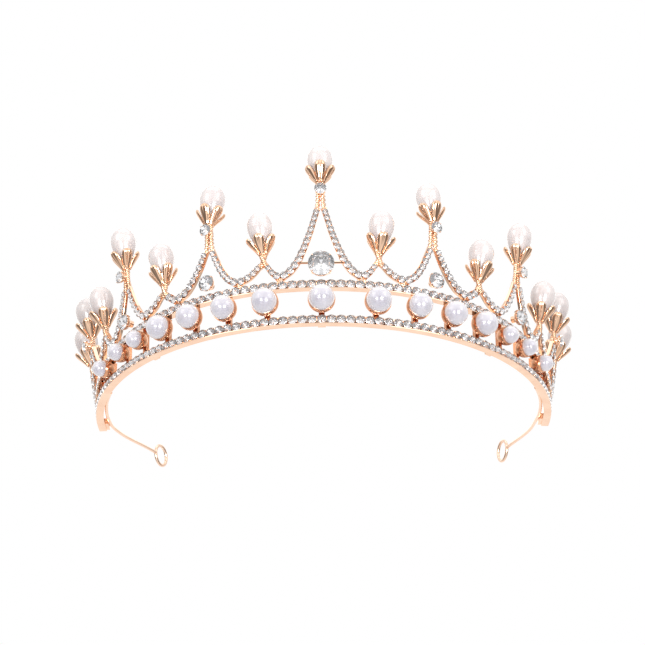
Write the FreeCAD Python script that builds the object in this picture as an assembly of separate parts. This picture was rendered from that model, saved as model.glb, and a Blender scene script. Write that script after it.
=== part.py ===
import FreeCAD, Part
import math
import os

# Bridal tiara: a stone-set double rail with fifteen pearl-tipped peaks and two wire arms.
# Millimetres. +Z up, the front faces -Y, the model is symmetric about X = 0.
# Only the two soft wire arms are bent a little differently.
# "s" is the distance along the ring from the centre front, positive to the wearer's left (+X).
# "out" is the distance outwards from the ring's stone plane and "height" is above the rim.

Vector = FreeCAD.Vector

# ---- ring ----
RING_HALF_WIDTH = 75.6
RING_DEPTH = 81.3
BAND_REACH = 130.0
# The wall flares outwards all round, and more towards the sides above the lower rail.
WALL_FLARE = 0.05
SIDE_FLARE = 0.16
SIDE_FLARE_POWER = 1.5

# ---- rails ----
RAIL_HEIGHT = 3.0
RAIL_WEB_BACK = -2.2
RAIL_WEB_FRONT = -1.0
RAIL_LIP_FRONT = 0.35
RAIL_LIP_THICKNESS = 0.22
RAIL_STONE_PITCH = 3.0
RAIL_STONE = 2.7
RAIL_SPREAD = 11.6
UPPER_RAIL_REACH = 112.0
UPPER_RAIL_DROP_POWER = 3.0
SECTION_STEP = 8.0
LOWER_RAIL_MID = 0.5 * RAIL_HEIGHT

# ---- peaks, from the centre outwards ----
PEAK_PITCH = 18.0
CLAW_HEIGHTS = (47.3, 24.0, 37.0, 22.0, 33.4, 20.5, 24.4, 22.2)
STEM_HEIGHTS = (8.9, 3.4, 8.4, 3.0, 6.6, 2.8, 4.2, 3.0)
# Claws tip outwards (lean) and along the ring, away from the centre (roll), in degrees.
CLAW_LEANS = (-15.0, 4.0, -8.0, 4.0, 8.0, 10.0, 10.0, 14.0)
CLAW_ROLLS = (0.0, 5.5, -3.5, 5.0, 0.0, 0.0, 0.0, 0.0)
# Where neighbouring peaks' arms meet, and the last arm's foot on the lower rail.
VALLEY_REACHES = (12.6, 26.3, 48.4, 63.0, 83.5, 98.5, 118.0, 128.5)
ARM_FOOT_WIDTH = 2.5
VALLEY_GAP = 0.35
ARM_BACK = -1.9
ARM_FRONT = -0.8
ARM_TOP_WIDTH = 2.0
ARM_TOP_OFFSET = 1.05
ARM_SECTIONS = 7
ARM_TOP_PITCH = 1.9
ARM_FOOT_PITCH = 2.4
ARM_STONE_GAP = 0.2
STEM_WIDTHS = (4.1, 2.5, 2.4)
STEM_BACK = -1.9
STEM_FRONT = -0.3

# ---- claws and drop pearls ----
CLAW_LENGTH = 6.2
CLAW_BASE_RADIUS = 1.5
CLAW_MOUTH_RADIUS = 4.9
CLAW_WALL = 0.55
CLAW_FLOOR = 1.3
CLAW_PETALS = 5
CLAW_NOTCH_WIDTH = 2.4
CLAW_NOTCH_FOOT = 1.9
DROP_PROFILE = ((0.0, 1.6), (2.35, 4.4), (3.75, 7.2), (4.15, 9.9), (3.4, 12.8), (0.0, 14.7))

# ---- round pearls between the rails: reach along the ring and diameter ----
ROUND_PEARLS = ((0.0, 8.0), (17.0, 8.0), (30.0, 7.5), (42.0, 7.5), (53.8, 7.5),
                (65.0, 5.5), (75.6, 5.5), (88.0, 5.3))
PEARL_CENTER_OUT = 3.1
PEARL_RIM_REACH = 0.21
PEARL_CUP_BACK_RATIO = 0.66
PEARL_RIM_SET_BACK = 1.0
PEARL_SEAT_GAP = 0.03
STRAP_WIDTH = 1.8
STRAP_FRONT = -1.03
END_CUPS = ((94.0, 2.9), (99.5, 2.3), (104.2, 1.6))
END_CUP_DEPTH = 1.4
END_CUP_BACK = -1.4
END_CUP_WALL = 0.3

# ---- crystals: diameter ----
CENTER_CRYSTAL = 7.6
SIDE_CRYSTAL = 4.8
STEM_CRYSTAL = 3.5
FOOT_CRYSTAL_PEAKS = (0, 2, 4)
# Peaks with a crystal on the stem: its rise above the stem's front, and its drop below the claw.
STEM_CRYSTAL_SEATS = ((0, 0.3, 2.7), (2, 0.3, 1.9), (4, 0.9, 2.9), (6, 0.9, 2.9))
BEZEL_WALL = 0.3
BEZEL_FOOT_RATIO = 0.8
FOOT_BEZEL_BACK = -1.6
FOOT_CRYSTAL_GAP = 0.05
CENTER_PIN_RISE = 1.6
CENTER_PIN_START_RATIO = 0.3
CENTER_PIN_REACH = 6.6
PIN_RADIUS = 0.45

# ---- stones: proportions of the diameter ----
STONE_PAVILION = 0.33
STONE_CROWN = 0.16
STONE_TABLE = 0.56
STONE_SIDES = 8
CULET_GAP = 0.05
CUP_DEPTH_RATIO = 0.75
CUP_WALL = 0.06
SEAT_GAP = 0.03
PRONG_WIDTH_RATIO = 0.17
PRONG_FOOT_RATIO = 0.8
PRONG_RISE_RATIO = 0.12
PRONGS = 4

# ---- wire arms ----
WIRE_DIAMETER = 1.1
WIRE_START = 98.0
WIRE_END_GAP = 1.3
WIRE_HEIGHT = 1.5
WIRE_FIXED_SPANS = 5
WIRE_FREE_SPANS = 8
# Side, free length, and the headings inwards where the free arm starts and ends. The soft
# wires are bent by hand, so the two arms differ a little.
WIRE_ARMS = ((-1, 34.0, 11.0, 27.0), (1, 32.0, 1.5, 21.5))
EYELET_DIAMETER = 8.2
EYELET_RADIUS = 0.5 * (EYELET_DIAMETER - WIRE_DIAMETER)

# ---- solder lugs inside the rim and under the arms, and the pads under the wires ----
LUG_REACHES = (-61.0, 0.0, 61.0)
LUG_WIDTH = 2.4
LUG_DEPTH = 0.8
LUG_HEIGHT = 1.6
PAD_START = 124.5
PAD_DEPTH = 1.1
PAD_LOW = 0.5
PAD_HIGH = 2.5

ANGLE_STEP = math.radians(0.1)
ANGLE_LIMIT = math.radians(120.0)


# ---- the ring as a frame of reference ----
def ring_table():
    """Arc length along the ring's ellipse at even steps of its parameter angle."""
    lengths = [0.0]
    angle = 0.0
    while angle < ANGLE_LIMIT:
        middle = angle + 0.5 * ANGLE_STEP
        run = math.hypot(RING_HALF_WIDTH * math.cos(middle), RING_DEPTH * math.sin(middle))
        lengths.append(lengths[-1] + run * ANGLE_STEP)
        angle += ANGLE_STEP
    return lengths


RING_LENGTHS = ring_table()


def ring_angle(s):
    """Parameter angle of the ellipse at distance s from the centre front."""
    reach = abs(s)
    index = 0
    while RING_LENGTHS[index + 1] < reach:
        index += 1
    part = (reach - RING_LENGTHS[index]) / (RING_LENGTHS[index + 1] - RING_LENGTHS[index])
    return math.copysign((index + part) * ANGLE_STEP, s)


def ring_heading(s):
    """Turn about Z, in degrees, from the centre front to the ring's outward normal at s."""
    angle = ring_angle(s)
    return math.degrees(math.atan2(RING_DEPTH * math.sin(angle),
                                   RING_HALF_WIDTH * math.cos(angle)))


def ring_point(s, out, height):
    angle = ring_angle(s)
    heading = math.radians(ring_heading(s))
    return Vector(RING_HALF_WIDTH * math.sin(angle) + out * math.sin(heading),
                  -RING_DEPTH * math.cos(angle) - out * math.cos(heading),
                  height)


def side_flare(s):
    return SIDE_FLARE * (abs(s) / BAND_REACH) ** SIDE_FLARE_POWER


def wall_shift(s, height):
    """How far out the wall's stone plane is at a height."""
    return WALL_FLARE * height + side_flare(s) * max(0.0, height - RAIL_HEIGHT)


def wall_lean(s):
    return math.degrees(math.atan(WALL_FLARE + side_flare(s)))


def wall_point(s, out, height):
    """A point on the flared wall: the wall leans outwards as it rises."""
    return ring_point(s, out + wall_shift(s, height), height)


def section_point(s, height, along, out, up):
    """A point set off from the wall at (s, height), in the flat frame of that place."""
    heading = math.radians(ring_heading(s))
    tangent = Vector(math.cos(heading), math.sin(heading), 0)
    return wall_point(s, out, height) + tangent * along + Vector(0, 0, up)


def place(shape, s, out, height, lean=0.0, turn=0.0):
    """Put a piece modelled at the origin, with -Y outwards, on the wall at s."""
    spin = FreeCAD.Rotation(Vector(0, 0, 1), ring_heading(s))
    tip = FreeCAD.Rotation(Vector(1, 0, 0), lean)
    roll = FreeCAD.Rotation(Vector(0, 1, 0), turn)
    moved = shape.copy()
    moved.Placement = FreeCAD.Placement(wall_point(s, out, height), spin * tip * roll)
    return moved


def outward(shape):
    """Turn a piece modelled along +Z so that its +Z end faces outwards (-Y).

    The compound around it keeps that turn when place() sets a placement of its own."""
    turned = shape.copy()
    turned.rotate(Vector(0, 0, 0), Vector(1, 0, 0), 90)
    return Part.Compound([turned])


def block(low, high):
    size = Vector(*high) - Vector(*low)
    return Part.makeBox(size.x, size.y, size.z, Vector(*low))


def revolved(points):
    """Solid of revolution about Z from (radius, height) points joined by straight edges."""
    wire = Part.makePolygon([Vector(r, 0, z) for r, z in points + points[:1]])
    return Part.Face(wire).revolve(Vector(0, 0, 0), Vector(0, 0, 1), 360)


def loft(sections):
    wires = [Part.makePolygon(section + section[:1]) for section in sections]
    return Part.makeLoft(wires, True, False)


def export(node, solids):
    """Write a node, moved so that the whole model is centred front to back."""
    moved = []
    for solid in solids:
        copy = solid.copy()
        copy.translate(Vector(0, -MIDDLE_Y, 0))
        moved.append(copy)
    shape = moved[0] if len(moved) == 1 else Part.Compound(moved)
    shape.exportStep("parts/" + node + ".step")


# ---- heights along the ring ----
def lower_rail_height(s):
    return LOWER_RAIL_MID


def upper_rail_height(s):
    """Mid-height of the upper rail, which comes down to the lower rail at its two ends."""
    fall = (abs(s) / UPPER_RAIL_REACH) ** UPPER_RAIL_DROP_POWER
    return LOWER_RAIL_MID + RAIL_SPREAD - (RAIL_SPREAD - RAIL_HEIGHT) * fall


def valley_height(s):
    """Mid-height of the arms where they meet above the upper rail, or past its end."""
    rail_top = RAIL_HEIGHT
    if abs(s) < UPPER_RAIL_REACH:
        rail_top = upper_rail_height(s) + 0.5 * RAIL_HEIGHT
    return rail_top + VALLEY_GAP + 0.5 * ARM_FOOT_WIDTH


# ---- stones and their settings ----
def faceted(rings):
    """Flat-sided solid through (radius, height) rings from the bottom up; radius 0 is a point."""
    steps = [2 * math.pi * i / STONE_SIDES for i in range(STONE_SIDES)]
    loops = [[Vector(r * math.cos(a), r * math.sin(a), z) for a in steps] for r, z in rings]
    faces = []
    for low, high in zip(loops, loops[1:]):
        for i in range(STONE_SIDES):
            j = (i + 1) % STONE_SIDES
            corners = [low[i], low[j], high[j], high[i]]
            if low[i].isEqual(low[j], SEAT_GAP / 10):
                corners = [low[i], high[j], high[i]]
            faces.append(Part.Face(Part.makePolygon(corners + corners[:1])))
    for loop in (loops[0], loops[-1]):
        if not loop[0].isEqual(loop[1], SEAT_GAP / 10):
            faces.append(Part.Face(Part.makePolygon(loop + loop[:1])))
    solid = Part.Solid(Part.Shell(faces))
    if solid.Volume < 0:
        solid.reverse()
    return solid


def stone_shape(diameter):
    """Faceted stone on +Z: pointed pavilion, crown and table. Its culet clears its seat."""
    radius = 0.5 * diameter
    girdle_height = CULET_GAP + STONE_PAVILION * diameter
    table_height = girdle_height + STONE_CROWN * diameter
    return outward(faceted([(0, CULET_GAP), (radius, girdle_height),
                            (STONE_TABLE * radius, table_height)]))


def cup_shape(diameter):
    """Open cup with a conical seat and four prongs around the stone's edge."""
    radius = 0.5 * diameter
    depth = CUP_DEPTH_RATIO * STONE_PAVILION * diameter
    cup = faceted([(radius + CUP_WALL, 0), (radius + CUP_WALL, depth)])
    half = 0.5 * PRONG_WIDTH_RATIO * diameter
    prong_height = CULET_GAP + (STONE_PAVILION + PRONG_RISE_RATIO) * diameter
    prongs = []
    for i in range(PRONGS):
        prong = block((PRONG_FOOT_RATIO * radius, -half, 0),
                      (radius + 2 * half, half, prong_height))
        prong.rotate(Vector(0, 0, 0), Vector(0, 0, 1), 360.0 * (i + 0.5) / PRONGS)
        prongs.append(prong)
    girdle = radius + SEAT_GAP
    seat = faceted([(0, CULET_GAP - SEAT_GAP),
                    (girdle, CULET_GAP - SEAT_GAP + 2 * STONE_PAVILION * girdle),
                    (girdle, 2 * prong_height)])
    return outward(cup.fuse(prongs).cut(seat).removeSplitter())


SHAPE_CACHE = {}


def cached(maker, diameter):
    """Stones and cups come in sizes a tenth of a millimetre apart."""
    size = round(diameter, 1)
    key = (maker.__name__, size)
    if key not in SHAPE_CACHE:
        SHAPE_CACHE[key] = maker(size)
    return SHAPE_CACHE[key]


def set_stone(diameter, s, out, height, lean, turn, cups, stones):
    """Add one cup and the stone in it."""
    cups.extend(place(cached(cup_shape, diameter), s, out, height, lean, turn).Solids)
    stones.extend(place(cached(stone_shape, diameter), s, out, height, lean, turn).Solids)




# ---- rails ----
def ring_strip(back, front, low, high):
    """Band of rectangular section that follows the ring to both of its ends."""
    end = ring_angle(BAND_REACH)
    shift = WALL_FLARE * LOWER_RAIL_MID
    turn = FreeCAD.Rotation(Vector(0, 0, 1), -90)
    edges = []
    for offset in (back, front):
        ellipse = Part.Ellipse(Vector(0, 0, low), RING_DEPTH + offset + shift,
                               RING_HALF_WIDTH + offset + shift)
        edge = Part.ArcOfEllipse(ellipse, -end, end).toShape()
        edge.Placement = FreeCAD.Placement(Vector(0, 0, 0), turn)
        edges.append(edge)
    inner, outer = edges
    close_left = Part.makeLine(inner.valueAt(inner.FirstParameter),
                               outer.valueAt(outer.FirstParameter))
    close_right = Part.makeLine(inner.valueAt(inner.LastParameter),
                                outer.valueAt(outer.LastParameter))
    wire = Part.Wire(Part.__sortEdges__([inner, close_left, outer, close_right]))
    return Part.Face(wire).extrude(Vector(0, 0, high - low))


def lower_rail():
    web = ring_strip(RAIL_WEB_BACK, RAIL_WEB_FRONT, 0, RAIL_HEIGHT)
    lip = ring_strip(RAIL_WEB_FRONT, RAIL_LIP_FRONT, 0, RAIL_LIP_THICKNESS)
    return web.fuse(lip).removeSplitter()


def rail_section(s):
    """Corners of the upper rail's L-shaped section: a web, and a lip under the stones."""
    middle = upper_rail_height(s)
    low = middle - 0.5 * RAIL_HEIGHT
    high = middle + 0.5 * RAIL_HEIGHT
    shift = wall_shift(s, middle)
    corners = ((RAIL_WEB_BACK, low), (RAIL_LIP_FRONT, low),
               (RAIL_LIP_FRONT, low + RAIL_LIP_THICKNESS),
               (RAIL_WEB_FRONT, low + RAIL_LIP_THICKNESS),
               (RAIL_WEB_FRONT, high), (RAIL_WEB_BACK, high))
    return [ring_point(s, out + shift, height) for out, height in corners]


def upper_rail():
    count = int(round(2 * UPPER_RAIL_REACH / SECTION_STEP))
    reaches = [UPPER_RAIL_REACH * (2 * i / count - 1) for i in range(count + 1)]
    return loft([rail_section(s) for s in reaches])


def rail_stones(reach, middle):
    """Cups and stones at an even pitch along a rail."""
    cups = []
    stones = []
    count = int((reach - 0.5 * RAIL_STONE_PITCH) / RAIL_STONE_PITCH)
    for i in range(-count, count + 1):
        s = i * RAIL_STONE_PITCH
        set_stone(RAIL_STONE, s, RAIL_WEB_FRONT, middle(s), 0, 0, cups, stones)
    return cups, stones


# ---- peaks ----
def arm_path(peak, valley):
    """(s, height) points of an arm's middle line, a parabola from the stem to the valley."""
    side = 1 if valley > peak["s"] else -1
    top_s = peak["s"] + side * ARM_TOP_OFFSET
    foot = valley_height(valley)
    points = []
    for i in range(ARM_SECTIONS):
        part = i / (ARM_SECTIONS - 1)
        s = top_s + (valley - top_s) * part
        points.append((s, foot + (peak["junction"] - foot) * (1 - part) ** 2))
    return points


def arm_slope(path, i):
    """Unit direction (ds, dheight) of the path at point i."""
    before = path[max(i - 1, 0)]
    after = path[min(i + 1, len(path) - 1)]
    ds = after[0] - before[0]
    dh = after[1] - before[1]
    if i == len(path) - 1:
        dh = 0.0
    length = math.hypot(ds, dh)
    return ds / length, dh / length


def arm(peak, valley):
    path = arm_path(peak, valley)
    sections = []
    for i, (s, height) in enumerate(path):
        ds, dh = arm_slope(path, i)
        part = i / (len(path) - 1)
        half = 0.5 * (ARM_TOP_WIDTH + (ARM_FOOT_WIDTH - ARM_TOP_WIDTH) * part)
        corners = []
        for side, out in ((1, ARM_BACK), (1, ARM_FRONT), (-1, ARM_FRONT), (-1, ARM_BACK)):
            corners.append(section_point(s, height, -side * half * dh, out, side * half * ds))
        sections.append(corners)
    return loft(sections)


def stem(peak):
    """Stem from the arms' junction up to the claw, ending square to the claw's axis."""
    low = peak["junction"] - 0.5
    high = peak["claw"]
    sections = []
    for part, width in zip((0.0, 0.5), STEM_WIDTHS):
        height = low + (high - low) * part
        half = 0.5 * width
        sections.append([section_point(peak["s"], height, -half, STEM_BACK, 0),
                         section_point(peak["s"], height, -half, STEM_FRONT, 0),
                         section_point(peak["s"], height, half, STEM_FRONT, 0),
                         section_point(peak["s"], height, half, STEM_BACK, 0)])
    half = 0.5 * STEM_WIDTHS[-1]
    depth = 0.5 * (STEM_FRONT - STEM_BACK)
    top = Part.makePolygon([Vector(-half, depth, 0), Vector(-half, -depth, 0),
                            Vector(half, -depth, 0), Vector(half, depth, 0)])
    top = place(top, peak["s"], 0.5 * (STEM_BACK + STEM_FRONT), high, peak["lean"],
                peak["roll"])
    sections.append([vertex.Point for vertex in top.Vertexes])
    wires = [Part.makePolygon(section + section[:1]) for section in sections]
    return Part.makeLoft(wires, True, True)


def arm_stones(peak, valley, cups, stones):
    """Cups and stones along an arm, graded from small at the stem to large at the valley."""
    path = arm_path(peak, valley)
    fine = []
    for (s0, h0), (s1, h1) in zip(path, path[1:]):
        fine.append((s0, h0, math.hypot(s1 - s0, h1 - h0)))
    total = sum(piece[2] for piece in fine)
    mean_pitch = 0.5 * (ARM_TOP_PITCH + ARM_FOOT_PITCH)
    count = max(2, int(round(total / mean_pitch - 0.3)))
    clear = ARM_FOOT_PITCH * (0.5 if abs(valley) < VALLEY_REACHES[-1] else 0.9)
    travelled = clear
    scale = (total - clear - 0.4) / ((count - 0.5) * mean_pitch)
    for i in range(count):
        part = i / (count - 1)
        pitch = scale * (ARM_FOOT_PITCH + (ARM_TOP_PITCH - ARM_FOOT_PITCH) * part)
        pitch = min(pitch, ARM_FOOT_PITCH)
        s, height, turn = point_from_foot(path, travelled)
        size = pitch - ARM_STONE_GAP - 2 * CUP_WALL
        set_stone(size, s, ARM_FRONT, height, wall_lean(s), turn, cups, stones)
        travelled += pitch


def point_from_foot(path, distance):
    """Position on the path at a distance from its foot, and the path's tilt there."""
    left = distance
    for (s1, h1), (s0, h0) in zip(path[::-1], path[-2::-1]):
        run = math.hypot(s1 - s0, h1 - h0)
        if left <= run:
            break
        left -= run
    part = left / run
    tilt = math.degrees(math.atan2(h0 - h1, s0 - s1))
    return s1 + (s0 - s1) * part, h1 + (h0 - h1) * part, -tilt


def peak_list():
    """The fifteen peaks with their heights, lean and the valleys either side."""
    peaks = []
    for number in range(len(CLAW_HEIGHTS)):
        for side, word in ((-1, "left"), (1, "right")):
            if number == 0 and side == 1:
                continue
            inner = VALLEY_REACHES[number - 1] if number else -VALLEY_REACHES[0]
            peaks.append({
                "name": "center" if number == 0 else word + "_" + str(number),
                "number": number,
                "s": side * number * PEAK_PITCH,
                "claw": CLAW_HEIGHTS[number],
                "junction": CLAW_HEIGHTS[number] - STEM_HEIGHTS[number],
                "lean": CLAW_LEANS[number],
                "roll": side * CLAW_ROLLS[number],
                "valleys": (side * inner, side * VALLEY_REACHES[number]),
            })
    return peaks


def peak_frame(peak):
    """Both arms and the stem of one peak, soldered into one piece."""
    arms = [arm(peak, valley) for valley in peak["valleys"]]
    return arms[0].fuse([arms[1], stem(peak)]).removeSplitter()


# ---- claws and pearls ----
def claw_shape():
    """Tulip-shaped cup of petals, standing on the origin along +Z."""
    inner_mouth = CLAW_MOUTH_RADIUS - CLAW_WALL
    inner_floor = CLAW_BASE_RADIUS - CLAW_WALL
    cup = revolved([(0, 0), (CLAW_BASE_RADIUS, 0), (CLAW_BASE_RADIUS, 0.6),
                    (CLAW_MOUTH_RADIUS, CLAW_LENGTH), (inner_mouth, CLAW_LENGTH),
                    (inner_floor, CLAW_FLOOR), (0, CLAW_FLOOR)])
    half = 0.5 * CLAW_NOTCH_WIDTH
    over = CLAW_LENGTH + 0.1
    notch = Part.makePolygon([Vector(0, 0, CLAW_NOTCH_FOOT), Vector(half, 0, over),
                              Vector(-half, 0, over), Vector(0, 0, CLAW_NOTCH_FOOT)])
    wedge = Part.Face(notch).extrude(Vector(0, 2 * CLAW_MOUTH_RADIUS, 0))
    wedges = []
    for i in range(CLAW_PETALS):
        turned = wedge.copy()
        turned.rotate(Vector(0, 0, 0), Vector(0, 0, 1), 360.0 * i / CLAW_PETALS)
        wedges.append(turned)
    return cup.cut(wedges)


def drop_pearl_shape():
    """Drop pearl, narrow end down in the claw."""
    points = [Vector(r, 0, z) for r, z in DROP_PROFILE]
    curve = Part.BSplineCurve()
    curve.interpolate(points, InitialTangent=Vector(1, 0, 0), FinalTangent=Vector(-1, 0, 0))
    axis = Part.makeLine(points[-1], points[0])
    face = Part.Face(Part.Wire([curve.toShape(), axis]))
    return face.revolve(Vector(0, 0, 0), Vector(0, 0, 1), 360)


def pearl_cup_shape(diameter):
    """Bowl behind a round pearl, open outwards, with its back on the strap."""
    radius = 0.5 * diameter
    middle = PEARL_CENTER_OUT - STRAP_FRONT
    rim = middle - PEARL_RIM_SET_BACK
    rim_radius = radius + PEARL_RIM_REACH
    back_radius = PEARL_CUP_BACK_RATIO * radius
    bend = Part.Arc(Vector(back_radius, 0, 0),
                    Vector(0.5 * (back_radius + rim_radius) + 0.12 * radius, 0, 0.36 * rim),
                    Vector(rim_radius, 0, rim)).toShape()
    corners = [Vector(rim_radius, 0, rim), Vector(0, 0, rim), Vector(0, 0, 0),
               Vector(back_radius, 0, 0)]
    edges = [Part.makeLine(a, b) for a, b in zip(corners, corners[1:])]
    bowl = Part.Face(Part.Wire([bend] + edges)).revolve(Vector(0, 0, 0), Vector(0, 0, 1), 360)
    seat = Part.makeSphere(radius + PEARL_SEAT_GAP, Vector(0, 0, middle))
    return outward(bowl.cut(seat))


def strap(s, front):
    """Upright strap that joins the two rails behind a pearl's cup."""
    height = upper_rail_height(s)
    low = RAIL_HEIGHT
    high = height - 0.5 * RAIL_HEIGHT
    middle = 0.5 * (low + high)
    half = 0.5 * (high - low)
    bar = block((-0.5 * STRAP_WIDTH, -front, -half), (0.5 * STRAP_WIDTH, -RAIL_WEB_BACK, half))
    return place(bar, s, 0, middle), middle


def pearl_seats():
    """Straps with their cups, and the round pearls in them."""
    cups = []
    pearls = []
    for reach, diameter in ROUND_PEARLS:
        for s in ((reach,) if reach == 0 else (-reach, reach)):
            bar, middle = strap(s, STRAP_FRONT)
            cup = place(pearl_cup_shape(diameter), s, STRAP_FRONT, middle)
            cups.append(bar.fuse(cup.Solids[0]))
            ball = Part.makeSphere(0.5 * diameter)
            pearls.append(place(ball, s, PEARL_CENTER_OUT, middle))
    return cups, pearls


def end_cups():
    """Small open cups that fill the narrowing ends of the gap between the rails."""
    cups = []
    for reach, diameter in END_CUPS:
        radius = 0.5 * diameter
        bore = radius - END_CUP_WALL
        shape = revolved([(0, 0), (radius, 0), (radius, END_CUP_DEPTH), (bore, END_CUP_DEPTH),
                          (bore, END_CUP_WALL), (0, END_CUP_WALL)])
        middle = 0.5 * (RAIL_HEIGHT + upper_rail_height(reach) - 0.5 * RAIL_HEIGHT)
        for s in (-reach, reach):
            cups.extend(place(outward(shape), s, END_CUP_BACK, middle).Solids)
    return cups


# ---- crystals ----
def bezel_shape(diameter, base):
    """Round bezel on a tapered foot of height base, with a conical seat, facing outwards."""
    radius = 0.5 * diameter
    pavilion = STONE_PAVILION * diameter
    slope = radius / pavilion
    rim = base + CUP_DEPTH_RATIO * pavilion
    outer = radius + BEZEL_WALL
    seat_foot = base + CULET_GAP - SEAT_GAP
    return outward(revolved([(0, 0), (BEZEL_FOOT_RATIO * outer, 0), (outer, base), (outer, rim),
                             (slope * (rim - seat_foot), rim), (0, seat_foot)]))


def foot_crystal(peak):
    """Large crystal on the upper rail, inside the arch of its peak."""
    s = peak["s"]
    size = SIDE_CRYSTAL if peak["number"] else CENTER_CRYSTAL
    height = upper_rail_height(s) + 0.5 * RAIL_HEIGHT + 0.5 * size + BEZEL_WALL + FOOT_CRYSTAL_GAP
    bezel = place(bezel_shape(size, -FOOT_BEZEL_BACK), s, FOOT_BEZEL_BACK, height).Solids[0]
    if peak["number"] == 0:
        bezel = bezel.fuse(center_pins(height)).removeSplitter()
    return bezel, place(cached(stone_shape, size), s, 0, height).Solids[0]


def stem_crystal(peak, rise, drop):
    """Small crystal in a bezel on the front of the stem."""
    height = peak["claw"] - drop
    s = peak["s"]
    bezel = place(bezel_shape(STEM_CRYSTAL, rise), s, STEM_FRONT, height, wall_lean(s))
    gem = place(cached(stone_shape, STEM_CRYSTAL), s, STEM_FRONT + rise, height, wall_lean(s))
    return bezel.Solids[0], gem.Solids[0]


def crystals(peaks):
    pairs = [foot_crystal(peak) for peak in peaks if peak["number"] in FOOT_CRYSTAL_PEAKS]
    for number, rise, drop in STEM_CRYSTAL_SEATS:
        pairs.extend(stem_crystal(peak, rise, drop) for peak in peaks if peak["number"] == number)
    return [bezel for bezel, gem in pairs], [gem for bezel, gem in pairs]


def center_pins(height):
    """Two short pins that tie the centre bezel to the arms of its arch."""
    pins = []
    start = CENTER_PIN_START_RATIO * CENTER_CRYSTAL
    for side in (-1, 1):
        pin = Part.makeCylinder(PIN_RADIUS, CENTER_PIN_REACH - start,
                                Vector(side * start, 0, 0), Vector(side, 0, 0))
        pins.append(place(pin, 0, 0.5 * (ARM_BACK + ARM_FRONT), height + CENTER_PIN_RISE))
    return pins


# ---- wire arms and lugs ----
def wire_plan(side, free_length, start_heading, end_heading):
    """Points of the wire's middle line: along the inner face, then the free arm."""
    start_out = RAIL_WEB_BACK - 0.5 * WIRE_DIAMETER + WALL_FLARE * LOWER_RAIL_MID
    fixed_length = BAND_REACH - WIRE_START
    points = []
    for i in range(WIRE_FIXED_SPANS + 1):
        part = i / WIRE_FIXED_SPANS
        s = side * (WIRE_START + fixed_length * part)
        points.append(ring_point(s, start_out - WIRE_END_GAP * part ** 2, WIRE_HEIGHT))
    heading = math.radians(ring_heading(BAND_REACH) - 90 + start_heading)
    step = free_length / WIRE_FREE_SPANS
    turn = (math.radians(end_heading) - heading) / WIRE_FREE_SPANS
    climb = 0.5 * EYELET_DIAMETER - WIRE_HEIGHT
    for i in range(WIRE_FREE_SPANS):
        middle = heading + (i + 0.5) * turn
        part = (i + 1) / WIRE_FREE_SPANS
        point = points[-1] + Vector(-side * step * math.sin(middle), step * math.cos(middle), 0)
        point.z = WIRE_HEIGHT + climb * part ** 2 * (3 - 2 * part)
        points.append(point)
    return points


def wire_arm(plan):
    """Spring wire with an eyelet bent at its end, in an upright plane along the wire."""
    points = wire_plan(*plan)
    curve = Part.BSplineCurve()
    curve.interpolate(points)
    path = Part.Wire([curve.toShape()])
    start = curve.value(curve.FirstParameter)
    tangent = curve.tangent(curve.FirstParameter)[0]
    circle = Part.Wire([Part.makeCircle(0.5 * WIRE_DIAMETER, start, tangent)])
    rod = path.makePipeShell([circle], True, True)
    end = points[-1]
    ahead = curve.tangent(curve.LastParameter)[0]
    ahead.z = 0
    ahead.normalize()
    center = end + ahead * EYELET_RADIUS
    center.z = 0.5 * EYELET_DIAMETER
    axis = ahead.cross(Vector(0, 0, 1))
    eyelet = Part.makeTorus(EYELET_RADIUS, 0.5 * WIRE_DIAMETER, center, axis)
    return rod.fuse(eyelet), center, axis


def solder_lugs(wires, rail):
    """Lugs inside the rim, lugs from the upper rail to the arms, and the wires' pads."""
    lugs = []
    half = 0.5 * LUG_WIDTH
    for s in LUG_REACHES:
        lug = block((-half, -RAIL_WEB_BACK, 0), (half, -RAIL_WEB_BACK + LUG_DEPTH, LUG_HEIGHT))
        lugs.append(place(lug, s, WALL_FLARE * LOWER_RAIL_MID, 0))
    for side, wire in zip((-1, 1), wires):
        for reach in VALLEY_REACHES:
            lug = block((-half, -ARM_FRONT, 0), (half, -ARM_BACK, VALLEY_GAP))
            foot = valley_height(reach) - VALLEY_GAP - 0.5 * ARM_FOOT_WIDTH
            lugs.append(place(lug, side * reach, 0, foot))
        reach = 0.5 * (BAND_REACH - PAD_START)
        pad = block((-reach, -RAIL_WEB_BACK, 0),
                    (reach, -RAIL_WEB_BACK + PAD_DEPTH, PAD_HIGH - PAD_LOW))
        pad = place(pad, side * 0.5 * (BAND_REACH + PAD_START), WALL_FLARE * LOWER_RAIL_MID,
                    PAD_LOW)
        lugs.append(pad.cut([wire, rail]))
    return lugs


# ---- build everything, centre it front to back, and write the files ----
peaks = peak_list()
parts = {"lower_rail": [lower_rail()], "upper_rail": [upper_rail()]}
parts["lower_rail_cups"], parts["lower_rail_stones"] = rail_stones(
    BAND_REACH, lower_rail_height)
parts["upper_rail_cups"], parts["upper_rail_stones"] = rail_stones(
    UPPER_RAIL_REACH, upper_rail_height)
parts["peak_cups"] = []
parts["peak_stones"] = []
claw = claw_shape()
drop = drop_pearl_shape()
for peak in peaks:
    name = peak["name"]
    parts["peak_" + name] = [peak_frame(peak)]
    seat = (peak["s"], 0.5 * (STEM_BACK + STEM_FRONT), peak["claw"], peak["lean"], peak["roll"])
    parts["claw_" + name] = [place(claw, *seat)]
    parts["drop_pearl_" + name] = [place(drop, *seat)]
    for valley in peak["valleys"]:
        arm_stones(peak, valley, parts["peak_cups"], parts["peak_stones"])
parts["pearl_cups"], parts["round_pearls"] = pearl_seats()
parts["pearl_cups"].extend(end_cups())
parts["crystal_bezels"], parts["crystals"] = crystals(peaks)
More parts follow.
